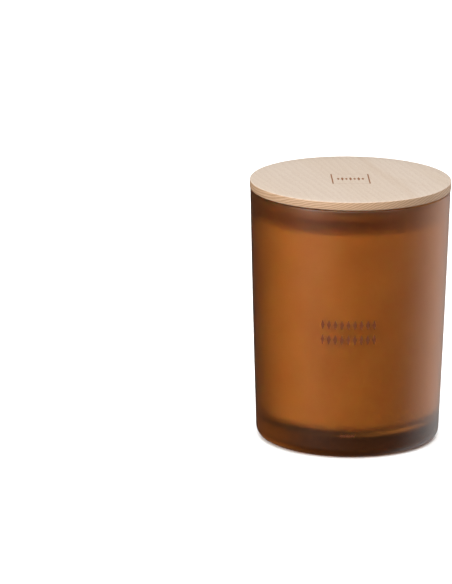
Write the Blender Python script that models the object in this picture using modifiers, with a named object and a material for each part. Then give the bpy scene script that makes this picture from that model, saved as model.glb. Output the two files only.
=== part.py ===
"""Candle jar: a tapered glass jar with a thick foot, poured wax with three wicks on stamped
tabs, and a turned wooden lid whose plug carries a lipped seal. Metres, +Z up, the jar's axis
on Z and its foot on z = 0."""
import math

import bpy

# Overall
TOTAL_HEIGHT = 0.1577
GAP = 0.0003                  # clearance between pieces that touch
SIDES = 64                    # facets round the jar, the wax and the lid
SMALL_SIDES = 16              # facets round a wick and its tab
WALL_STEPS = 7                # rows of facets up the jar's wall
CORNER_STEPS = 6              # rows of facets in a large rounded corner
EDGE_STEPS = 2                # rows of facets in a small rounded edge

# Lid
LID_RADIUS = 0.0600
LID_THICKNESS = 0.0050
LID_EDGE = 0.0005             # rounding of the lid's two edges
PLUG_RADIUS = 0.0530
PLUG_DEPTH = 0.0080           # from the lid's underside
PLUG_CHAMFER = 0.0005
GROOVE_BOTTOM = 0.0515        # radius at the bottom of the seal's groove
GROOVE_LOW = 0.1457
GROOVE_HIGH = 0.1506
LIP_HEIGHTS = (0.1497, 0.1467)  # where the seal's lips leave its band, top one first
LIP_ROOT_HALF = 0.0005
LIP_RISE = 0.0004             # how far a lip's tip stands above its root
LIP_TIP = 0.0005              # thickness of a lip at its tip

# Jar
JAR_HEIGHT = TOTAL_HEIGHT - LID_THICKNESS - GAP
BASE_RADIUS = 0.05475         # where the wall's line meets z = 0
RIM_RADIUS = 0.05968
WALL_BOW = 0.00027            # how far the wall swells outside a straight taper
WALL = 0.0036
RIM_ROUND = 0.0012
HEEL_ROUND = 0.0060
FOOT_INNER = 0.0370           # the flat ring that the jar stands on starts here
PUSH_UP = 0.0010              # rise of the underside inside that ring
FLOOR_HEIGHT = 0.0112         # top of the thick foot, inside
FLOOR_ROUND = 0.0100

# Wax and wicks
WAX_TOP = 0.1361
MENISCUS_RISE = 0.0004
MENISCUS_WIDTH = 0.0030
WICK_COUNT = 3
WICK_CIRCLE = 0.0260          # radius of the circle the wicks stand on
WICK_RADIUS = 0.0013
WICK_LENGTH_SHOWN = 0.0050    # above the wax
PAD_RADIUS = 0.0090
PAD_THICKNESS = 0.0008
TAB_RADIUS = 0.0100
TAB_THICKNESS = 0.0004
NECK_RADIUS = 0.0020
NECK_HEIGHT = 0.0060
NECK_FLARE = 0.0012           # fillet between the tab's disc and its neck


def clear_scene():
    for obj in list(bpy.data.objects):
        bpy.data.objects.remove(obj, do_unlink=True)


def collection(name):
    made = bpy.data.collections.new(name)
    bpy.context.scene.collection.children.link(made)
    return made


def principled(name, colour, roughness, metallic=0.0, transmission=0.0, subsurface=0.0):
    made = bpy.data.materials.new(name)
    made.use_nodes = True
    shader = made.node_tree.nodes["Principled BSDF"]
    shader.inputs["Base Color"].default_value = (*colour, 1.0)
    shader.inputs["Roughness"].default_value = roughness
    shader.inputs["Metallic"].default_value = metallic
    shader.inputs["Transmission Weight"].default_value = transmission
    shader.inputs["Subsurface Weight"].default_value = subsurface
    made.diffuse_color = (*colour, 1.0)
    return made


def arc(centre_r, centre_z, radius, start_deg, end_deg, steps):
    """Points on a circle in the (r, z) half-plane, from one angle to the other."""
    angles = (
        math.radians(start_deg + (end_deg - start_deg) * i / steps) for i in range(steps + 1)
    )
    return [(centre_r + radius * math.cos(a), centre_z + radius * math.sin(a)) for a in angles]


def turned(name, profile, material, into, sides=SIDES, ring=False, at=(0.0, 0.0, 0.0)):
    """A solid of revolution about Z. The profile is (r, z) points that run down the outer side;
    a ring's profile closes on itself, and any other starts and ends on the axis."""
    mesh = bpy.data.meshes.new(name)
    count = len(profile)
    edges = [(i, i + 1) for i in range(count - 1)] + ([(count - 1, 0)] if ring else [])
    mesh.from_pydata([(r, 0.0, z) for r, z in profile], edges, [])
    obj = bpy.data.objects.new(name, mesh)
    into.objects.link(obj)
    obj.location = at
    screw = obj.modifiers.new("Turn", "SCREW")
    screw.axis = "Z"
    screw.angle = math.tau
    screw.steps = screw.render_steps = sides
    screw.use_merge_vertices = True
    screw.merge_threshold = 0.00001
    screw.use_smooth_shade = True
    if material is not None:
        mesh.materials.append(material)
    return obj


def flat_shading_on_flats(obj):
    """Keeps flat faces looking flat beside the rounded ones; it moves no vertex."""
    obj.modifiers.new("Even normals", "WEIGHTED_NORMAL").weight = 90


def outer_radius(z):
    up = z / JAR_HEIGHT
    return BASE_RADIUS + (RIM_RADIUS - BASE_RADIUS) * up + 4.0 * WALL_BOW * up * (1.0 - up)


def inner_radius(z):
    return outer_radius(z) - WALL


def heights(low, high, steps):
    return [low + (high - low) * i / steps for i in range(steps + 1)]


def jar_profile():
    """From the middle of the inside floor, up the inner wall, over the rim, down the outer wall
    and in along the foot to the axis."""
    corner_z = FLOOR_HEIGHT + FLOOR_ROUND
    corner_r = inner_radius(corner_z) - FLOOR_ROUND
    inner_floor = arc(corner_r, corner_z, FLOOR_ROUND, -90, 0, CORNER_STEPS)
    rim_z = JAR_HEIGHT - RIM_ROUND
    inner_wall = [(inner_radius(z), z) for z in heights(corner_z, rim_z, WALL_STEPS)[1:]]
    inner_rim = arc(inner_radius(rim_z) + RIM_ROUND, rim_z, RIM_ROUND, 180, 90, EDGE_STEPS)[1:]
    outer_rim = arc(outer_radius(rim_z) - RIM_ROUND, rim_z, RIM_ROUND, 90, 0, EDGE_STEPS)
    outer_wall = [(outer_radius(z), z) for z in heights(rim_z, HEEL_ROUND, WALL_STEPS)[1:]]
    heel = arc(outer_radius(HEEL_ROUND) - HEEL_ROUND, HEEL_ROUND, HEEL_ROUND, 0, -90, CORNER_STEPS)[1:]
    underside = [(FOOT_INNER, 0.0), (FOOT_INNER - 2.0 * PUSH_UP, PUSH_UP), (0.0, PUSH_UP)]
    return ([(0.0, FLOOR_HEIGHT)] + inner_floor + inner_wall + inner_rim + outer_rim
            + outer_wall + heel + underside)


def wax_profile():
    corner_z = FLOOR_HEIGHT + FLOOR_ROUND
    corner_r = inner_radius(corner_z) - FLOOR_ROUND
    edge_z = WAX_TOP + MENISCUS_RISE
    edge_r = inner_radius(edge_z) - GAP
    top = [(0.0, WAX_TOP), (edge_r - MENISCUS_WIDTH, WAX_TOP),
           (edge_r - 0.4 * MENISCUS_WIDTH, WAX_TOP + 0.3 * MENISCUS_RISE), (edge_r, edge_z)]
    wall = [(inner_radius(z) - GAP, z) for z in heights(edge_z, corner_z, WALL_STEPS)[1:]]
    corner = arc(corner_r, corner_z, FLOOR_ROUND - GAP, 0, -90, CORNER_STEPS)[1:]
    return top + wall + corner + [(0.0, FLOOR_HEIGHT + GAP)]


def lid_disc_profile():
    low, high = TOTAL_HEIGHT - LID_THICKNESS, TOTAL_HEIGHT
    edge_r = LID_RADIUS - LID_EDGE
    return ([(0.0, high)] + arc(edge_r, high - LID_EDGE, LID_EDGE, 90, 0, EDGE_STEPS)
            + arc(edge_r, low + LID_EDGE, LID_EDGE, 0, -90, EDGE_STEPS) + [(0.0, low)])


def plug_profile():
    high = TOTAL_HEIGHT - LID_THICKNESS - GAP
    low = TOTAL_HEIGHT - LID_THICKNESS - PLUG_DEPTH
    return [(0.0, high), (PLUG_RADIUS, high), (PLUG_RADIUS, GROOVE_HIGH),
            (GROOVE_BOTTOM, GROOVE_HIGH), (GROOVE_BOTTOM, GROOVE_LOW), (PLUG_RADIUS, GROOVE_LOW),
            (PLUG_RADIUS, low + PLUG_CHAMFER), (PLUG_RADIUS - PLUG_CHAMFER, low), (0.0, low)]


def seal_profile():
    """A band in the plug's groove with two thin lips that lean up towards the lid."""
    band_outer = PLUG_RADIUS + GAP
    points = [(band_outer, GROOVE_HIGH - GAP)]
    for z in LIP_HEIGHTS:
        tip_z = z + LIP_RISE
        tip_r = inner_radius(tip_z) - GAP
        points += [(band_outer, z + LIP_ROOT_HALF), (tip_r, tip_z + LIP_TIP), (tip_r, tip_z),
                   (band_outer, z - LIP_ROOT_HALF)]
    inner = GROOVE_BOTTOM + GAP
    return points + [(band_outer, GROOVE_LOW + GAP), (inner, GROOVE_LOW + GAP),
                     (inner, GROOVE_HIGH - GAP)]


def tab_profile(pad_top):
    """A stamped disc with a tall neck that grips the wick."""
    low = pad_top + GAP
    disc_top = low + TAB_THICKNESS
    bore = WICK_RADIUS + GAP
    return [(NECK_RADIUS, low + NECK_HEIGHT), (NECK_RADIUS, disc_top + NECK_FLARE),
            (NECK_RADIUS + NECK_FLARE, disc_top), (TAB_RADIUS, disc_top), (TAB_RADIUS, low),
            (bore, low), (bore, low + NECK_HEIGHT)]


def wick_profile(low, high):
    tip = 0.4 * WICK_RADIUS
    return [(0.0, high), (WICK_RADIUS - tip, high), (WICK_RADIUS, high - tip),
            (WICK_RADIUS, low), (0.0, low)]


def pocket_profile(pad_top):
    """The room in the wax for a pad, a tab and a wick, from below the wax to above it."""
    low = pad_top + GAP
    disc_top = low + TAB_THICKNESS + GAP
    neck_top = low + NECK_HEIGHT + GAP
    neck_r = NECK_RADIUS + GAP
    below, above = FLOOR_HEIGHT - 0.0020, WAX_TOP + 0.0040
    return [(0.0, above), (WICK_RADIUS + GAP, above), (WICK_RADIUS + GAP, neck_top),
            (neck_r, neck_top), (neck_r, disc_top + NECK_FLARE + GAP),
            (neck_r + NECK_FLARE, disc_top), (TAB_RADIUS + GAP, disc_top),
            (TAB_RADIUS + GAP, below), (0.0, below)]


def build():
    clear_scene()
    parts = collection("candle_jar")
    cutters = collection("cutters")

    glass = principled("amber_glass", (0.62, 0.30, 0.10), 0.35, transmission=1.0)
    wax_look = principled("wax", (0.80, 0.55, 0.28), 0.50, subsurface=0.3)
    wood = principled("beech", (0.74, 0.58, 0.42), 0.60)
    silicone = principled("silicone", (0.55, 0.48, 0.40), 0.45)
    cotton = principled("cotton", (0.86, 0.83, 0.76), 0.95)
    tinplate = principled("tinplate", (0.72, 0.72, 0.70), 0.30, metallic=1.0)
    adhesive = principled("adhesive", (0.88, 0.87, 0.83), 0.70)

    flat_shading_on_flats(turned("glass_jar", jar_profile(), glass, parts))
    wax = turned("wax_fill", wax_profile(), wax_look, parts)

    pad_low = FLOOR_HEIGHT + GAP
    pad_top = pad_low + PAD_THICKNESS
    for index in range(WICK_COUNT):
        turn = math.tau * (0.25 + index / WICK_COUNT)
        at = (WICK_CIRCLE * math.cos(turn), WICK_CIRCLE * math.sin(turn), 0.0)
        tag = index + 1
        pad = [(0.0, pad_top), (PAD_RADIUS, pad_top), (PAD_RADIUS, pad_low), (0.0, pad_low)]
        turned(f"wick_pad_{tag}", pad, adhesive, parts, SMALL_SIDES, at=at)
        turned(f"wick_tab_{tag}", tab_profile(pad_top), tinplate, parts, SMALL_SIDES,
               ring=True, at=at)
        wick = wick_profile(pad_top + GAP, WAX_TOP + WICK_LENGTH_SHOWN)
        turned(f"wick_{tag}", wick, cotton, parts, SMALL_SIDES, at=at)
        cutter = turned(f"cut_wick_{tag}", pocket_profile(pad_top), None, cutters,
                        SMALL_SIDES, at=at)
        cutter.hide_render = True
        cutter.display_type = "WIRE"
        cut = wax.modifiers.new(f"Wick {tag}", "BOOLEAN")
        cut.operation = "DIFFERENCE"
        cut.solver = "EXACT"
        cut.object = cutter
    flat_shading_on_flats(wax)

    lid_axis = bpy.data.objects.new("lid_axis", None)
    lid_axis.location = (0.0, 0.0, JAR_HEIGHT)
    lid_axis.empty_display_size = 0.02
    parts.objects.link(lid_axis)
    for name, profile, material, ring in (
        ("lid_disc", lid_disc_profile(), wood, False),
        ("lid_plug", plug_profile(), wood, False),
        ("lid_seal", seal_profile(), silicone, True),
    ):
        piece = turned(name, profile, material, parts, ring=ring)
        piece.parent = lid_axis
        piece.location = (0.0, 0.0, -JAR_HEIGHT)
        flat_shading_on_flats(piece)
    bpy.context.view_layer.update()


build()
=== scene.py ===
import math

import bmesh
import bpy
from mathutils import Matrix, Vector


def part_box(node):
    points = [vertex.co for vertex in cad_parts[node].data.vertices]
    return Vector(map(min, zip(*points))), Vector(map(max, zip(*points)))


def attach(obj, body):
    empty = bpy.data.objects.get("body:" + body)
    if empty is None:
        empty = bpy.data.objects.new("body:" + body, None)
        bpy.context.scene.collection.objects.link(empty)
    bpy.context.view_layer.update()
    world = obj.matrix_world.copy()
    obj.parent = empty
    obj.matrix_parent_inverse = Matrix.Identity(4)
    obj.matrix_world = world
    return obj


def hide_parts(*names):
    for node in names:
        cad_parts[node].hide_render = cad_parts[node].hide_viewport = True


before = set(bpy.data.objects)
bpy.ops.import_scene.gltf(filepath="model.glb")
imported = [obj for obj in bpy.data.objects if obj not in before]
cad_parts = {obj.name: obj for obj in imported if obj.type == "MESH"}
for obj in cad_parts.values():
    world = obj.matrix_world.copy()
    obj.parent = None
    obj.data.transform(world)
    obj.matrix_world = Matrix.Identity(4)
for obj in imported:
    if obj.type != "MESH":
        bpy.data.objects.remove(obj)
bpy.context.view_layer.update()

SCENE = bpy.context.scene

# Shape, in metres. Heights and radii that a CAD node gives are read from its box, which is its
# lowest and its highest corner.
GAP = 0.0003
JAR_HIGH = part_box("glass_jar")[1]
DISC_LOW, DISC_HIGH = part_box("lid_disc")
PLUG_LOW, PLUG_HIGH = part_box("lid_plug")
SEAL_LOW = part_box("lid_seal")[0]
WAX_LOW, WAX_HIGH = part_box("wax_fill")
JAR_HEIGHT = JAR_HIGH.z
LID_RADIUS = DISC_HIGH.x
BASE_RADIUS = 0.05475
RIM_RADIUS = 0.05968
WALL_BOW = 0.00027
WALL = 0.0036
RIM_ROUND = 0.0012
HEEL_ROUND = 0.0060
FLOOR_HEIGHT = WAX_LOW.z - GAP
FLOOR_ROUND = 0.0100
FOOT_INNER = 0.0370
PUSH_UP = 0.0010
MENISCUS_RISE = 0.0004
MENISCUS_WIDTH = 0.004
MENISCUS_CURVE = ((0.0, 0.0), (0.25, 0.07), (0.5, 0.25), (0.75, 0.55), (1.0, 1.0))
WAX_TOP = WAX_HIGH.z - MENISCUS_RISE
LID_EDGE = 0.0005
PLUG_RADIUS = PLUG_HIGH.x
GROOVE_BOTTOM = 0.0515
GROOVE_LOW = SEAL_LOW.z - GAP
GROOVE_HIGH = 0.1506
# The seal's two lips: where they leave the belt, half their thickness there, how far they lean
# up on their way to the wall, and how thick their tips are
LIP_HEIGHTS = (0.1497, 0.1467)
LIP_ROOT_HALF = 0.0005
LIP_RISE = 0.0004
LIP_TIP = 0.0005
# Segments round a turned shape, the rings across the flat tops of the wax and the lid, and the
# angles past which an edge is left sharp
AROUND = 192
WAX_RING_STEP, WAX_RINGS = 0.006, 8
DISC_RING_STEP, DISC_RINGS = 0.01, 5
TURNED_SHARP = math.radians(40)
WICK_SHARP = math.radians(50)
# The wicks: how thick a strand is and how far it swings, in wick radii, how flat the plait lies,
# its pitch, the length of a step along it, how much shorter each strand's cut end is than the
# last, and the pitch of the yarns in a strand
STRAND_SHARE, SWING_SHARE = 0.52, 0.46
PLAIT_FLATNESS = 0.75
PLAIT_PITCH = 0.0042
PLAIT_STEP = 0.00035
CUT_STEP = 0.00025
PLY_PITCH = 0.00045

# Camera: where it stands, in lid radii, how it is turned, in radians, and its lens
EYE_BACK, EYE_UP = 46.0052, 13.5251
EYE_YAW, EYE_PITCH, EYE_ROLL = -0.0267, 0.2566, 0.0069
LENS_MM = 293.45
SENSOR_MM = 36.0
FAR_CLIP = 100.0

# Colours, linear
COAT_THIN = (0.80, 0.280, 0.050)
COAT_DEEP = (0.76, 0.252, 0.042)
BARE_CLEAR = (0.98, 0.97, 0.95)
BARE_WARM = (0.94, 0.92, 0.88)
INNER_SHEEN = (1.0, 0.42, 0.10)
WAX_LOW_COLOUR = (0.80, 0.66, 0.46)
WAX_HIGH_COLOUR = (0.88, 0.76, 0.56)
WAX_BLOOM = (0.92, 0.85, 0.70)
# Beech as (pale, middle, dark)
BEECH_TOP = ((0.84, 0.71, 0.595), (0.82, 0.68, 0.555), (0.62, 0.43, 0.28))
BEECH_PLUG = ((0.88, 0.74, 0.58), (0.84, 0.69, 0.53), (0.62, 0.44, 0.30))
# Side faces of both beech pieces: partly the end grain's own darker tone, partly painted shade and
# painted orange bounce light
END_GRAIN_SHADE_AND_BOUNCE = (0.64, 0.395, 0.22)
RING_DARK = (0.30, 0.13, 0.05)
BURN = (0.34, 0.125, 0.036)
SEAL_COLOUR = (0.48, 0.40, 0.31)
SEAL_DUST = (0.55, 0.47, 0.37)
COTTON_PALE = (0.88, 0.84, 0.76)
COTTON_DARK = (0.66, 0.60, 0.50)
TIN_DARK, TIN_PALE = (0.56, 0.56, 0.54), (0.74, 0.73, 0.70)
PAD_DARK, PAD_PALE = (0.72, 0.70, 0.64), (0.88, 0.87, 0.82)
INK = (0.18, 0.052, 0.022)
INK_WORN = (0.22, 0.064, 0.027)
FLOOR_DARK, FLOOR_PALE = (0.90, 0.90, 0.895), (0.92, 0.92, 0.915)
WHITE = (1.0, 1.0, 1.0)

# Noise values mostly keep between these two
NOISE_SPAN = (0.3, 0.7)

# Glass: the roughness of its two faces, its index, and the faint amber in its depth
COAT_ROUGH = 0.36
BARE_ROUGH = 0.38
GLASS_INDEX = 1.5
GLASS_PASSES = (0.74, 0.66, 0.40)
GLASS_DENSITY = 32.0
ROUGH_DRIFT = 0.02

# Wax: its index, how far light runs inside it, and how red, green and blue share that reach
WAX_INDEX = 1.44
WAX_SCATTER = 0.006
WAX_REACH = (1.0, 0.55, 0.25)

# Beech: which way the grain runs in each piece, in degrees from front to back
GRAIN_TURN = -17.0
PLUG_GRAIN_TURN = -10.0
# Growth rings: their slant from level across the board, their pitch, how far they wander, and
# how strongly they show on the board's face and, on top of that, on its end grain
RING_SLANT = math.radians(21.0)
RING_PITCH = 0.0015
RING_WANDER = 0.0058
RING_ON_FACE = 0.08
RING_ON_END = 0.62
# How strongly the side faces' colour (end grain, painted shade and painted bounce light), the
# flecks, the pores and the bolder marks show
END_GRAIN_SHADE_AND_BOUNCE_STRENGTH = 0.86
FLECK_STRENGTH = 0.26
PORE_STRENGTH = 0.24
FIGURE_STRENGTH = 0.17
# The bolder marks, each as (middle, half width, soft edge) across the grain or along it: a
# streak, a branch that leans off it, and a short dark fleck
STREAK = (0.0215, 0.0010, 0.0042)
BRANCH, BRANCH_RUN = (0.0235, 0.0004, 0.0024), (-0.016, 0.008, 0.012)
BRANCH_LEAN = 0.44
BRANCH_STRENGTH = 0.7
DARK_FLECK, DARK_FLECK_RUN = (0.0525, 0.0001, 0.0005), (-0.0087, 0.0012, 0.0012)
DARK_FLECK_STRENGTH = 1.6
FIGURE_SWAY = 0.022

# The burnt mark on the lid: its turn in degrees, its half sizes, the half width of its side
# lines, the softness of all its lines, and how strong the end lines are beside the side ones
MARK_TURN = 3.6
MARK_HALF_X, MARK_HALF_Y = 0.0110, 0.0122
MARK_LINE = 0.00024
MARK_SOFT = 0.00025
END_LINE_STRENGTH = 0.35
# Its figures: their count, pitch and half width, and the half heights of the tall and short ones
MARK_COUNT = 7
MARK_PITCH = 0.00245
MARK_FIGURE = 0.00085
MARK_TALL, MARK_SHORT = 0.0042, 0.0026
# How deep below the lid's top the mark may reach, and how deep it is beside the wood's own relief
MARK_REACH = 0.0008
MARK_RELIEF = 1.5

# The print on the glass: how far it stands off the wall and how wide a figure's tip is, then row
# by row its middle height and the figures' half height, half width, pitch and count
PRINT_LIFT = 0.00004
PRINT_TIP = 0.00006
PRINT_ROWS = (
    (0.0827, 0.0029, 0.00105, 0.00385, 9),
    (0.0737, 0.0031, 0.00105, 0.00385, 9),
    (0.0143, 0.0009, 0.00045, 0.00150, 6),
)

# The room: its dim level, the half width of its bright patches in degrees, and the patches as
# (azimuth, elevation, strength)
ROOM_DIM = 0.05
ROOM_SPREAD = 50.0
ROOM_PATCHES = (
    (120.0, -20.0, 1.02), (150.0, -20.0, 0.15), (120.0, 25.0, 0.35), (-30.0, 25.0, 0.68),
    (-70.0, 25.0, 0.16),
)
# Tall panels round the jar, all of one size and distance, as
# (name, (azimuth, elevation), watts)
PANEL_OFF = 1.2
PANEL_SIZE = (0.42, 0.90)
PANEL_AIM = Vector((0.0, 0.0, 0.08))
PANELS = (
    ("key", (-45.0, 20.0), 8.9),
    ("side_key", (50.0, 20.0), 2.48),
    ("back_key", (140.0, 48.0), 0.95),
)
# Panels above the jar, as (name, place, size, watts), and one that lights only the floor
TOP_PANELS = (
    ("front_top", (0.0, -1.10, 1.20), (1.20, 0.80), 8.4),
    ("overhead", (0.0, -0.10, 1.30), (1.40, 1.40), 5.48),
)
BACKDROP_AT, BACKDROP_AIM = (0.0, 1.00, 2.20), (0.0, 1.00, 0.0)
BACKDROP_SIZE, BACKDROP_WATTS = (4.00, 3.60), 120.0
FLOOR_HALF = 9.0


# ---------------------------------------------------------------- shapes

def arc(centre_r, centre_z, radius, start_deg, end_deg, steps):
    angles = (
        math.radians(start_deg + (end_deg - start_deg) * i / steps) for i in range(steps + 1)
    )
    return [(centre_r + radius * math.cos(a), centre_z + radius * math.sin(a)) for a in angles]


def outer_radius(z):
    """The wall widens upwards and bows out slightly between base and rim."""
    up = z / JAR_HEIGHT
    return BASE_RADIUS + (RIM_RADIUS - BASE_RADIUS) * up + 4.0 * WALL_BOW * up * (1.0 - up)


def inner_radius(z):
    return outer_radius(z) - WALL


def heights(low, high, steps):
    return [low + (high - low) * i / steps for i in range(steps + 1)]


def lathe(name, profile, ring=False):
    """A turned mesh from (r, z) points that run down its outer side. A ring closes on itself."""
    bm = bmesh.new()
    count = len(profile)
    rows = []
    for r, z in profile:
        if r < 1e-7:
            rows.append([bm.verts.new((0.0, 0.0, z))])
            continue
        rows.append([
            bm.verts.new((r * math.cos(math.tau * i / AROUND),
                          r * math.sin(math.tau * i / AROUND), z))
            for i in range(AROUND)
        ])
    for k in range(count if ring else count - 1):
        upper, lower = rows[k], rows[(k + 1) % count]
        for i in range(AROUND):
            j = (i + 1) % AROUND
            corners = [upper[i % len(upper)], lower[i % len(lower)],
                       lower[j % len(lower)], upper[j % len(upper)]]
            unique = list(dict.fromkeys(corners))
            if len(unique) > 2:
                bm.faces.new(unique)
    mesh = bpy.data.meshes.new(name)
    bm.to_mesh(mesh)
    bm.free()
    mesh.shade_smooth()
    mesh.set_sharp_from_angle(angle=TURNED_SHARP)
    obj = bpy.data.objects.new(name, mesh)
    SCENE.collection.objects.link(obj)
    return obj


def mesh_object(name, points, faces):
    mesh = bpy.data.meshes.new(name)
    mesh.from_pydata(points, [], faces)
    obj = bpy.data.objects.new(name, mesh)
    SCENE.collection.objects.link(obj)
    return obj


def jar_profile():
    """From the middle of the floor inside, up the inner wall, over the round rim, down the
    outside and round the heel to the foot, which is pushed up a little in its middle."""
    corner_z = FLOOR_HEIGHT + FLOOR_ROUND
    corner_r = inner_radius(corner_z) - FLOOR_ROUND
    rim_z = JAR_HEIGHT - RIM_ROUND
    return (
        [(0.0, FLOOR_HEIGHT), (0.5 * corner_r, FLOOR_HEIGHT)]
        + arc(corner_r, corner_z, FLOOR_ROUND, -90, 0, 16)
        + [(inner_radius(z), z) for z in heights(corner_z, rim_z, 24)[1:]]
        + arc(inner_radius(rim_z) + RIM_ROUND, rim_z, RIM_ROUND, 180, 90, 6)[1:]
        + arc(outer_radius(rim_z) - RIM_ROUND, rim_z, RIM_ROUND, 90, 0, 6)
        + [(outer_radius(z), z) for z in heights(rim_z, HEEL_ROUND, 24)[1:]]
        + arc(outer_radius(HEEL_ROUND) - HEEL_ROUND, HEEL_ROUND, HEEL_ROUND, 0, -90, 12)[1:]
        + [(FOOT_INNER, 0.0), (FOOT_INNER - 0.5 * PUSH_UP, 0.15 * PUSH_UP),
           (FOOT_INNER - 1.5 * PUSH_UP, 0.85 * PUSH_UP), (FOOT_INNER - 2.0 * PUSH_UP, PUSH_UP),
           (0.0, PUSH_UP)]
    )


def level_rings(step, count, z):
    """Rings across a flat top, so that its faces stay short."""
    return [(step * k, z) for k in range(1, count + 1)]


def wax_profile():
    """The wax fills the jar to its top, where it creeps up the wall."""
    corner_z = FLOOR_HEIGHT + FLOOR_ROUND
    corner_r = inner_radius(corner_z) - FLOOR_ROUND
    edge_z = WAX_TOP + MENISCUS_RISE
    edge_r = inner_radius(edge_z) - GAP
    top = [(edge_r - MENISCUS_WIDTH * (1.0 - a), WAX_TOP + MENISCUS_RISE * b)
           for a, b in MENISCUS_CURVE]
    return (
        [(0.0, WAX_TOP)] + level_rings(WAX_RING_STEP, WAX_RINGS, WAX_TOP) + top
        + [(inner_radius(z) - GAP, z) for z in heights(edge_z, corner_z, 20)[1:]]
        + arc(corner_r, corner_z, FLOOR_ROUND - GAP, 0, -90, 16)[1:]
        + [(0.0, FLOOR_HEIGHT + GAP)]
    )


def disc_profile():
    """The lid's flat round board, with small round edges."""
    low, high = DISC_LOW.z, DISC_HIGH.z
    edge_r = LID_RADIUS - LID_EDGE
    rings = level_rings(DISC_RING_STEP, DISC_RINGS, high)
    return ([(0.0, high)] + rings + arc(edge_r, high - LID_EDGE, LID_EDGE, 90, 0, 5)
            + arc(edge_r, low + LID_EDGE, LID_EDGE, 0, -90, 5) + [(0.0, low)])


def plug_profile():
    """The lid's lower board, with a groove round it for the seal."""
    return ([(0.0, PLUG_HIGH.z), (PLUG_RADIUS, PLUG_HIGH.z), (PLUG_RADIUS, GROOVE_HIGH),
             (GROOVE_BOTTOM, GROOVE_HIGH), (GROOVE_BOTTOM, GROOVE_LOW), (PLUG_RADIUS, GROOVE_LOW)]
            + arc(PLUG_RADIUS - LID_EDGE, PLUG_LOW.z + LID_EDGE, LID_EDGE, 0, -90, 4)
            + [(0.0, PLUG_LOW.z)])


def seal_profile():
    """A closed outline: a belt in the groove, with two thin lips that reach out and up to the
    wall."""
    belt_r = PLUG_RADIUS + GAP
    points = [(belt_r, GROOVE_HIGH - GAP)]
    for z in LIP_HEIGHTS:
        tip_z = z + LIP_RISE + 0.5 * LIP_TIP
        tip_r = inner_radius(tip_z) - GAP - 0.5 * LIP_TIP
        points += [(belt_r, z + LIP_ROOT_HALF)] + arc(tip_r, tip_z, 0.5 * LIP_TIP, 90, -90, 6)
        points += [(belt_r, z - LIP_ROOT_HALF)]
    inner = GROOVE_BOTTOM + GAP
    return points + [(belt_r, SEAL_LOW.z), (inner, SEAL_LOW.z), (inner, GROOVE_HIGH - GAP)]


def braided_wick(name, low, high, radius, at):
    """Three strands plaited round each other, cut off at the top at slightly different heights."""
    strand_r, swing = STRAND_SHARE * radius, SWING_SHARE * radius
    steps = max(int((high - low) / PLAIT_STEP), 8)
    sides = 8
    points, faces = [], []
    for strand in range(3):
        phase = math.tau * strand / 3
        start = len(points)
        top = high - CUT_STEP * strand
        for i in range(steps + 1):
            z = low + (top - low) * i / steps
            turn = math.tau * (z - low) / PLAIT_PITCH + phase
            cx, cy = swing * math.sin(turn), PLAIT_FLATNESS * swing * math.sin(2.0 * turn)
            for k in range(sides):
                a = math.tau * k / sides
                points.append((at[0] + cx + strand_r * math.cos(a),
                               at[1] + cy + strand_r * math.sin(a), z))
        for i in range(steps):
            for k in range(sides):
                a, b = start + i * sides + k, start + i * sides + (k + 1) % sides
                faces.append((a, b, b + sides, a + sides))
        faces.append(tuple(start + k for k in reversed(range(sides))))
        faces.append(tuple(start + steps * sides + k for k in range(sides)))
    wick = mesh_object(name, points, faces)
    wick.data.shade_smooth()
    wick.data.set_sharp_from_angle(angle=WICK_SHARP)
    return wick


# ---------------------------------------------------------------- materials

def new_material(name):
    made = bpy.data.materials.new(name)
    made.use_nodes = True
    tree = made.node_tree
    return made, tree, tree.nodes["Principled BSDF"]


def node(tree, kind, *links, **settings):
    """A node with its settings; links are (input, source socket or value)."""
    made = tree.nodes.new(kind)
    for name, value in settings.items():
        setattr(made, name, value)
    for key, value in links:
        if isinstance(value, bpy.types.NodeSocket):
            tree.links.new(value, made.inputs[key])
        else:
            made.inputs[key].default_value = value
    return made


def math_node(tree, operation, a, b=0.0):
    return node(tree, "ShaderNodeMath", (0, a), (1, b), operation=operation).outputs[0]


def scaled(tree, value, by):
    return math_node(tree, "MULTIPLY", value, by)


def ranged(tree, value, low, high, to_low, to_high, smooth=False):
    return node(tree, "ShaderNodeMapRange", ("Value", value), ("From Min", low),
                ("From Max", high), ("To Min", to_low), ("To Max", to_high),
                interpolation_type="SMOOTHSTEP" if smooth else "LINEAR", clamp=True).outputs[0]


def spread(tree, value, to_low=0.0, to_high=1.0):
    """A noise value stretched so that its usual span fills a range."""
    return ranged(tree, value, *NOISE_SPAN, to_low, to_high)


def noise(tree, vector, scale, detail, rough):
    return node(tree, "ShaderNodeTexNoise", ("Vector", vector), ("Scale", scale),
                ("Detail", detail), ("Roughness", rough)).outputs[0]


def mixed(tree, factor, a, b):
    """A colour between a and b, each a socket or three numbers."""
    made = node(tree, "ShaderNodeMix", (0, factor), data_type="RGBA")
    for key, value in ((6, a), (7, b)):
        if isinstance(value, bpy.types.NodeSocket):
            tree.links.new(value, made.inputs[key])
        else:
            made.inputs[key].default_value = (*value, 1.0)
    return made.outputs[2]


def bump(tree, height, distance, strength):
    return node(tree, "ShaderNodeBump", ("Height", height), ("Distance", distance),
                ("Strength", strength)).outputs[0]


def place(tree):
    """Object coordinates, in metres. Each piece is made where it sits at rest, so these are the
    shared frame's own, and they stay with the piece when it moves."""
    return tree.nodes.new("ShaderNodeTexCoord").outputs["Object"]


def axes_of(tree, vector):
    return node(tree, "ShaderNodeSeparateXYZ", (0, vector)).outputs


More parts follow.
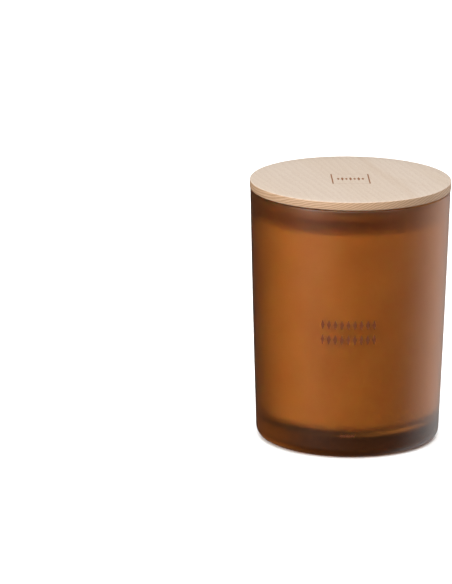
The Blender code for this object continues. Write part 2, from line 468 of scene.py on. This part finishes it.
def frosted_glass():
    """Amber glass. The outside has a satin amber coat that tints light once on its way in and
    once on its way out; the inner face is bare. What the coat sends back inside is amber as
    well. A faint amber in the glass itself shows only in the thick foot."""
    made, tree, shader = new_material("frosted_amber_glass")
    where = place(tree)
    x, y, z = axes_of(tree, where)
    mid_wall = math_node(tree, "ADD", scaled(tree, z, (RIM_RADIUS - BASE_RADIUS) / JAR_HEIGHT),
                         BASE_RADIUS - 0.5 * WALL)
    level = node(tree, "ShaderNodeCombineXYZ", ("X", x), ("Y", y)).outputs[0]
    reach = node(tree, "ShaderNodeVectorMath", (0, level), operation="LENGTH").outputs["Value"]
    inside = scaled(tree, math_node(tree, "LESS_THAN", reach, mid_wall),
                    math_node(tree, "GREATER_THAN", z, 0.5 * FLOOR_HEIGHT))
    clouds = noise(tree, where, scale=55.0, detail=3.0, rough=0.55)
    grain = noise(tree, where, scale=2600.0, detail=2.0, rough=0.6)
    waves = noise(tree, where, scale=38.0, detail=1.0, rough=0.4)
    coat = mixed(tree, spread(tree, clouds), COAT_DEEP, COAT_THIN)
    bare = mixed(tree, spread(tree, waves), BARE_WARM, BARE_CLEAR)
    tree.links.new(mixed(tree, inside, coat, bare), shader.inputs["Base Color"])
    satin = spread(tree, clouds, COAT_ROUGH - ROUGH_DRIFT, COAT_ROUGH + ROUGH_DRIFT)
    bare_change = scaled(tree, inside, BARE_ROUGH - COAT_ROUGH)
    tree.links.new(math_node(tree, "ADD", satin, bare_change), shader.inputs["Roughness"])
    shader.inputs["Transmission Weight"].default_value = 1.0
    shader.inputs["IOR"].default_value = GLASS_INDEX
    height = math_node(tree, "ADD", scaled(tree, grain, 0.04), scaled(tree, waves, 0.5))
    tree.links.new(bump(tree, height, distance=0.0004, strength=0.35), shader.inputs["Normal"])
    depth = node(tree, "ShaderNodeVolumeAbsorption", ("Color", (*GLASS_PASSES, 1.0)),
                 ("Density", GLASS_DENSITY))
    tree.links.new(depth.outputs[0], tree.nodes["Material Output"].inputs["Volume"])
    behind = node(tree, "ShaderNodeNewGeometry").outputs["Backfacing"]
    from_within = math_node(tree, "MAXIMUM", behind, inside)
    tree.links.new(mixed(tree, from_within, WHITE, INNER_SHEEN), shader.inputs["Specular Tint"])
    return made


def poured_wax():
    """Cloudy wax with a paler bloom and a slightly uneven top."""
    made, tree, shader = new_material("poured_wax")
    where = place(tree)
    clouds = noise(tree, where, scale=42.0, detail=4.0, rough=0.6)
    bloom = noise(tree, where, scale=260.0, detail=3.0, rough=0.65)
    base = mixed(tree, spread(tree, clouds), WAX_LOW_COLOUR, WAX_HIGH_COLOUR)
    base = mixed(tree, ranged(tree, bloom, 0.45, 0.75, 0.0, 0.25), base, WAX_BLOOM)
    tree.links.new(base, shader.inputs["Base Color"])
    tree.links.new(spread(tree, bloom, 0.38, 0.55), shader.inputs["Roughness"])
    shader.inputs["Subsurface Weight"].default_value = 0.55
    shader.inputs["Subsurface Radius"].default_value = WAX_REACH
    shader.inputs["Subsurface Scale"].default_value = WAX_SCATTER
    shader.inputs["IOR"].default_value = WAX_INDEX
    ripple = math_node(tree, "ADD", scaled(tree, clouds, 0.8), scaled(tree, bloom, 0.2))
    tree.links.new(bump(tree, ripple, distance=0.0006, strength=0.5), shader.inputs["Normal"])
    return made


def beech(name, turn_deg, tones, top=False):
    """Beech with the growth rings lying at a slant: fine close lines along the board's face,
    stronger sloping lines on its end grain, fine pores, and short ray flecks along the grain."""
    made, tree, shader = new_material(name)
    where = place(tree)
    board = node(tree, "ShaderNodeMapping", ("Vector", where),
                 ("Rotation", (0.0, 0.0, math.radians(turn_deg)))).outputs[0]
    u, v, w = axes_of(tree, board)       # u across the grain, v along it, w up through the board

    def stretched(across, along, through):
        return node(tree, "ShaderNodeCombineXYZ", ("X", scaled(tree, u, across)),
                    ("Y", scaled(tree, v, along)), ("Z", scaled(tree, w, through))).outputs[0]

    slow = stretched(across=1.0, along=0.16, through=1.0)
    wander = noise(tree, slow, scale=48.0, detail=4.0, rough=0.6)
    broad = noise(tree, slow, scale=22.0, detail=2.0, rough=0.5)
    depth = math_node(tree, "SUBTRACT", scaled(tree, w, math.cos(RING_SLANT)),
                      scaled(tree, u, math.sin(RING_SLANT)))
    bent = math_node(tree, "ADD", depth, scaled(tree, wander, RING_WANDER))
    ring = math_node(tree, "FRACT", math_node(tree, "DIVIDE", bent, RING_PITCH))
    late = scaled(tree, ranged(tree, ring, 0.25, 0.95, 0.0, 1.0),
                  ranged(tree, ring, 0.95, 1.0, 1.0, 0.0))
    fine = stretched(across=9.0, along=0.9, through=9.0)
    short = stretched(across=3.6, along=0.85, through=3.6)
    pores = noise(tree, fine, scale=420.0, detail=2.0, rough=0.6)
    rays = noise(tree, short, scale=420.0, detail=1.0, rough=0.5)
    flecks = ranged(tree, rays, 0.60, 0.72, 0.0, 1.0, smooth=True)
    face = node(tree, "ShaderNodeNewGeometry").outputs["Normal"]
    nz = axes_of(tree, face)[2]
    side = ranged(tree, math_node(tree, "ABSOLUTE", nz), 0.3, 0.8, 1.0, 0.0)
    pale, mid, dark = tones
    base = mixed(tree, ranged(tree, broad, 0.35, 0.68, 0.0, 1.0, smooth=True), pale, mid)
    # Side faces take the end grain colour, partly real and partly painted shade and painted orange
    # bounce light
    base = mixed(tree, scaled(tree, side, END_GRAIN_SHADE_AND_BOUNCE_STRENGTH), base, END_GRAIN_SHADE_AND_BOUNCE)
    shown = math_node(tree, "ADD", RING_ON_FACE, scaled(tree, side, RING_ON_END))
    ring_strength = scaled(tree, late, shown)
    base = mixed(tree, ring_strength, base, RING_DARK)
    base = mixed(tree, scaled(tree, flecks, FLECK_STRENGTH), base, dark)
    base = mixed(tree, ranged(tree, pores, 0.40, 0.72, 0.0, PORE_STRENGTH), base, dark)
    if top:
        marks = scaled(tree, figure(tree, u, v, wander), FIGURE_STRENGTH)
        base = mixed(tree, marks, base, dark)
    sunk = math_node(tree, "ADD", scaled(tree, pores, 0.6), scaled(tree, flecks, 0.3))
    relief = math_node(tree, "SUBTRACT", 1.0, sunk)
    if top:
        burnt = burn_mask(tree, where, face)
        base = mixed(tree, burnt, base, BURN)
        relief = math_node(tree, "SUBTRACT", relief, scaled(tree, burnt, MARK_RELIEF))
    tree.links.new(base, shader.inputs["Base Color"])
    tree.links.new(spread(tree, pores, 0.50, 0.64), shader.inputs["Roughness"])
    tree.links.new(bump(tree, relief, distance=0.00012, strength=0.6), shader.inputs["Normal"])
    return made


def figure(tree, u, v, wander):
    """The board's few bolder marks: a streak along the grain, a fainter one that branches off it,
    and one short dark fleck near the edge."""
    sway = scaled(tree, math_node(tree, "SUBTRACT", wander, 0.5), FIGURE_SWAY)
    line = math_node(tree, "ADD", u, sway)
    streak = band(tree, line, *STREAK)
    leaning = math_node(tree, "ADD", line, scaled(tree, v, BRANCH_LEAN))
    branch = scaled(tree, band(tree, leaning, *BRANCH), band(tree, v, *BRANCH_RUN))
    fleck = scaled(tree, band(tree, u, *DARK_FLECK), band(tree, v, *DARK_FLECK_RUN))
    both = math_node(tree, "MAXIMUM", streak, scaled(tree, branch, BRANCH_STRENGTH))
    return math_node(tree, "ADD", both, scaled(tree, fleck, DARK_FLECK_STRENGTH))


def band(tree, value, centre, half, soft):
    """1 within half of centre, falling to 0 over soft."""
    off = math_node(tree, "ABSOLUTE", math_node(tree, "SUBTRACT", value, centre))
    return ranged(tree, off, half, half + soft, 1.0, 0.0, smooth=True)


def burn_mask(tree, where, face):
    """How strongly the lid's top is burnt: a thin square frame, its two side lines the darkest,
    round a row of small lozenges that alternate between taller and shorter."""
    turned = node(tree, "ShaderNodeMapping", ("Vector", where),
                  ("Rotation", (0.0, 0.0, math.radians(-MARK_TURN)))).outputs[0]
    x, y, z = axes_of(tree, turned)
    off_x, off_y = math_node(tree, "ABSOLUTE", x), math_node(tree, "ABSOLUTE", y)
    side_lines = scaled(tree, band(tree, off_x, MARK_HALF_X, MARK_LINE, MARK_SOFT),
                        band(tree, y, 0.0, MARK_HALF_Y, MARK_SOFT))
    end_lines = scaled(tree, band(tree, off_y, MARK_HALF_Y, 0.5 * MARK_LINE, MARK_SOFT),
                       band(tree, x, 0.0, MARK_HALF_X, MARK_SOFT))
    frame_lines = math_node(tree, "MAXIMUM", side_lines, scaled(tree, end_lines, END_LINE_STRENGTH))
    place_in_row = math_node(tree, "ADD", math_node(tree, "DIVIDE", x, MARK_PITCH), 0.5)
    cell = math_node(tree, "SUBTRACT", math_node(tree, "FRACT", place_in_row), 0.5)
    turn = math_node(tree, "PINGPONG", math_node(tree, "FLOOR", place_in_row), 1.0)
    tall = ranged(tree, turn, 0.0, 1.0, MARK_TALL, MARK_SHORT)
    across = math_node(tree, "ABSOLUTE", scaled(tree, cell, MARK_PITCH / MARK_FIGURE))
    along = math_node(tree, "DIVIDE", off_y, tall)
    lozenge = ranged(tree, math_node(tree, "ADD", across, along), 0.85, 1.15, 1.0, 0.0,
                     smooth=True)
    row = scaled(tree, lozenge, band(tree, x, 0.0, 0.5 * MARK_COUNT * MARK_PITCH, 0.00001))
    faces_up = ranged(tree, axes_of(tree, face)[2], 0.8, 0.95, 0.0, 1.0)
    on_top = ranged(tree, z, DISC_HIGH.z - MARK_REACH, DISC_HIGH.z - 0.5 * MARK_REACH, 0.0, 1.0)
    return scaled(tree, math_node(tree, "MAXIMUM", frame_lines, row),
                  scaled(tree, faces_up, on_top))


def silicone():
    """Dull silicone that light goes a little way into, with some dust on it."""
    made, tree, shader = new_material("translucent_silicone")
    where = place(tree)
    dust = noise(tree, where, scale=900.0, detail=3.0, rough=0.6)
    base = mixed(tree, ranged(tree, dust, 0.35, 0.7, 0.0, 0.5), SEAL_COLOUR, SEAL_DUST)
    tree.links.new(base, shader.inputs["Base Color"])
    tree.links.new(spread(tree, dust, 0.30, 0.46), shader.inputs["Roughness"])
    shader.inputs["Subsurface Weight"].default_value = 0.5
    shader.inputs["Subsurface Scale"].default_value = 0.002
    tree.links.new(bump(tree, dust, distance=0.00008, strength=0.4), shader.inputs["Normal"])
    return made


def cotton():
    """Twisted yarns, and wax soaked in just above the wax's top."""
    made, tree, shader = new_material("braided_cotton")
    where = place(tree)
    x, y, z = axes_of(tree, where)
    lean = math_node(tree, "ADD", z, scaled(tree, math_node(tree, "ADD", x, y), 0.8))
    ply = math_node(tree, "SINE", scaled(tree, lean, math.tau / PLY_PITCH))
    fuzz = noise(tree, where, scale=3800.0, detail=3.0, rough=0.7)
    base = mixed(tree, ranged(tree, ply, -1.0, 1.0, 0.0, 0.6), COTTON_DARK, COTTON_PALE)
    waxed = ranged(tree, z, WAX_TOP + 0.0005, WAX_TOP + 0.0026, 0.55, 0.0)
    base = mixed(tree, waxed, base, WAX_HIGH_COLOUR)
    tree.links.new(base, shader.inputs["Base Color"])
    tree.links.new(spread(tree, fuzz, 0.80, 0.95), shader.inputs["Roughness"])
    shader.inputs["Sheen Weight"].default_value = 0.25
    height = math_node(tree, "ADD", scaled(tree, ply, 0.5), fuzz)
    tree.links.new(bump(tree, height, distance=0.00008, strength=0.8), shader.inputs["Normal"])
    return made


def tinplate():
    made, tree, shader = new_material("stamped_tinplate")
    where = place(tree)
    spangle = noise(tree, where, scale=700.0, detail=2.0, rough=0.5)
    drawn = node(tree, "ShaderNodeMapping", ("Vector", where), ("Scale", (1.0, 14.0, 1.0)))
    scratch = noise(tree, drawn.outputs[0], scale=500.0, detail=2.0, rough=0.5)
    base = mixed(tree, spread(tree, spangle), TIN_DARK, TIN_PALE)
    tree.links.new(base, shader.inputs["Base Color"])
    shader.inputs["Metallic"].default_value = 1.0
    tree.links.new(spread(tree, scratch, 0.22, 0.42), shader.inputs["Roughness"])
    tree.links.new(bump(tree, scratch, distance=0.00004, strength=0.5), shader.inputs["Normal"])
    return made


def adhesive():
    made, tree, shader = new_material("adhesive_foam")
    where = place(tree)
    cells = node(tree, "ShaderNodeTexVoronoi", ("Vector", where), ("Scale", 2600.0)).outputs[0]
    base = mixed(tree, ranged(tree, cells, 0.0, 0.7, 0.0, 1.0), PAD_DARK, PAD_PALE)
    tree.links.new(base, shader.inputs["Base Color"])
    shader.inputs["Roughness"].default_value = 0.75
    tree.links.new(bump(tree, cells, distance=0.0001, strength=0.5), shader.inputs["Normal"])
    return made


def ink():
    made, tree, shader = new_material("brown_print")
    where = place(tree)
    speck = noise(tree, where, scale=3000.0, detail=3.0, rough=0.65)
    base = mixed(tree, ranged(tree, speck, 0.35, 0.7, 0.0, 1.0), INK, INK_WORN)
    tree.links.new(base, shader.inputs["Base Color"])
    tree.links.new(spread(tree, speck, 0.55, 0.75), shader.inputs["Roughness"])
    shader.inputs["Specular IOR Level"].default_value = 0.1
    tree.links.new(bump(tree, speck, distance=0.00003, strength=0.5), shader.inputs["Normal"])
    return made


def floor_paint():
    made, tree, shader = new_material("pale_floor")
    where = place(tree)
    mottle = noise(tree, where, scale=3.0, detail=3.0, rough=0.5)
    base = mixed(tree, spread(tree, mottle), FLOOR_DARK, FLOOR_PALE)
    tree.links.new(base, shader.inputs["Base Color"])
    shader.inputs["Roughness"].default_value = 0.8
    shader.inputs["Specular IOR Level"].default_value = 0.2
    return made


# ---------------------------------------------------------------- pieces

def fit(piece, body, slot, material, *stands_for):
    """Dress a piece and put it on its body, in place of the CAD nodes it stands for."""
    piece.data.materials.append(material)
    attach(piece, body)
    if stands_for:
        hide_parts(*stands_for)


def print_patches(name):
    """Small lozenges printed on the wall, each a patch that follows its curve."""
    points, faces = [], []
    steps = 8
    for middle, half_z, half_w, pitch, count in PRINT_ROWS:
        for k in range(count):
            along = (k - 0.5 * (count - 1)) * pitch
            start = len(points)
            for i in range(steps + 1):
                t = -1.0 + 2.0 * i / steps
                z = middle + half_z * t
                wide = half_w * (1.0 - abs(t)) + PRINT_TIP
                r = outer_radius(z) + PRINT_LIFT
                for side in (-1.0, 1.0):
                    a = (along + side * wide) / r
                    points.append((r * math.sin(a), -r * math.cos(a), z))
            for i in range(steps):
                a = start + 2 * i
                faces.append((a, a + 1, a + 3, a + 2))
    piece = mesh_object(name, points, faces)
    piece.data.shade_smooth()
    return piece


def build_pieces():
    fit(lathe("jar_glass", jar_profile()), "jar", "frosted_glass", frosted_glass(), "glass_jar")
    fit(lathe("wax_body", wax_profile()), "jar", "wax", poured_wax(), "wax_fill")
    cloth, plate, pad = cotton(), tinplate(), adhesive()
    for tag in (1, 2, 3):
        low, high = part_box(f"wick_{tag}")
        middle = (low + high) / 2
        wick = braided_wick(f"braid_{tag}", low.z, high.z, high.x - middle.x,
                            (middle.x, middle.y))
        fit(wick, "jar", "cotton", cloth, f"wick_{tag}")
        for cad, material in ((f"wick_tab_{tag}", plate), (f"wick_pad_{tag}", pad)):
            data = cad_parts[cad].data
            data.materials.clear()
            data.materials.append(material)
    fit(lathe("lid_top", disc_profile()), "lid", "beech",
        beech("beech_face", GRAIN_TURN, BEECH_TOP, top=True), "lid_disc")
    fit(lathe("lid_insert", plug_profile()), "lid", "beech",
        beech("beech_insert", PLUG_GRAIN_TURN, BEECH_PLUG), "lid_plug")
    fit(lathe("seal_ring", seal_profile(), ring=True), "lid", "silicone", silicone(), "lid_seal")
    fit(print_patches("front_figures"), "jar", "frosted_glass", ink())


# ---------------------------------------------------------------- stage

def area(name, at, aim, size, watts):
    """A rectangular light panel at a place, turned to its aim, and unseen by the camera."""
    data = bpy.data.lights.new(name, "AREA")
    data.shape = "RECTANGLE"
    data.size, data.size_y = size
    data.energy = watts
    lamp = bpy.data.objects.new(name, data)
    SCENE.collection.objects.link(lamp)
    lamp.location = at
    lamp.rotation_euler = (Vector(aim) - Vector(at)).to_track_quat("-Z", "Y").to_euler()
    lamp.visible_camera = False
    return lamp


def bearing(azimuth_deg, elevation_deg):
    """A unit vector. Azimuth 0 is the front (-Y), and it grows towards +X."""
    a, e = math.radians(azimuth_deg), math.radians(elevation_deg)
    return Vector((math.cos(e) * math.sin(a), -math.cos(e) * math.cos(a), math.sin(e)))


def studio_world():
    """A dim white room with soft bright patches: low and high on the right, a little behind the
    jar, and high in front on the left."""
    world = bpy.data.worlds.new("studio")
    SCENE.world = world
    world.use_nodes = True
    tree = world.node_tree
    way = tree.nodes.new("ShaderNodeTexCoord").outputs["Generated"]
    total = ROOM_DIM
    for azimuth, elevation, strength in ROOM_PATCHES:
        toward = node(tree, "ShaderNodeVectorMath", (0, way), (1, bearing(azimuth, elevation)),
                      operation="DOT_PRODUCT").outputs["Value"]
        patch = ranged(tree, toward, math.cos(math.radians(ROOM_SPREAD)), 1.0, 0.0, strength,
                       smooth=True)
        total = math_node(tree, "ADD", patch, total)
    tree.links.new(total, tree.nodes["Background"].inputs["Strength"])
    tree.nodes["Background"].inputs["Color"].default_value = (*WHITE, 1.0)


def build_stage():
    half = FLOOR_HALF
    corners = [(-half, -half, 0), (half, -half, 0), (half, half, 0), (-half, half, 0)]
    floor = mesh_object("studio_floor", corners, [(0, 1, 2, 3)])
    floor.data.materials.append(floor_paint())
    # The room's low patches stand for the floor in everything the object reflects, so the floor
    # itself neither lights nor shades the object.
    floor.visible_diffuse = False
    floor.visible_glossy = False
    floor.visible_transmission = False
    floor.visible_shadow = False
    studio_world()
    for name, way, watts in PANELS:
        area(name, PANEL_AIM + bearing(*way) * PANEL_OFF, PANEL_AIM, PANEL_SIZE, watts)
    for name, at, size, watts in TOP_PANELS:
        area(name, at, (0.0, 0.0, 0.0), size, watts)
    backdrop = area("backdrop_light", BACKDROP_AT, BACKDROP_AIM, BACKDROP_SIZE, BACKDROP_WATTS)
    only_floor = bpy.data.collections.new("lit_by_backdrop_light")
    only_floor.objects.link(floor)
    backdrop.light_linking.receiver_collection = only_floor


def build_camera():
    data = bpy.data.cameras.new("camera")
    data.sensor_width = SENSOR_MM
    data.lens = LENS_MM
    data.clip_end = FAR_CLIP
    eye = bpy.data.objects.new("camera", data)
    SCENE.collection.objects.link(eye)
    level = Vector((math.sin(EYE_YAW), math.cos(EYE_YAW), 0.0))
    right = Vector((math.cos(EYE_YAW), -math.sin(EYE_YAW), 0.0))
    ahead = level * math.cos(EYE_PITCH) - Vector((0, 0, 1)) * math.sin(EYE_PITCH)
    up = level * math.sin(EYE_PITCH) + Vector((0, 0, 1)) * math.cos(EYE_PITCH)
    side = right * math.cos(EYE_ROLL) + up * math.sin(EYE_ROLL)
    top = up * math.cos(EYE_ROLL) - right * math.sin(EYE_ROLL)
    at = Vector((0.0, -EYE_BACK * LID_RADIUS, EYE_UP * LID_RADIUS))
    eye.matrix_world = Matrix((
        (side.x, top.x, -ahead.x, at.x),
        (side.y, top.y, -ahead.y, at.y),
        (side.z, top.z, -ahead.z, at.z),
        (0.0, 0.0, 0.0, 1.0),
    ))
    SCENE.camera = eye


build_pieces()
build_stage()
build_camera()
SCENE.view_settings.view_transform = "Standard"
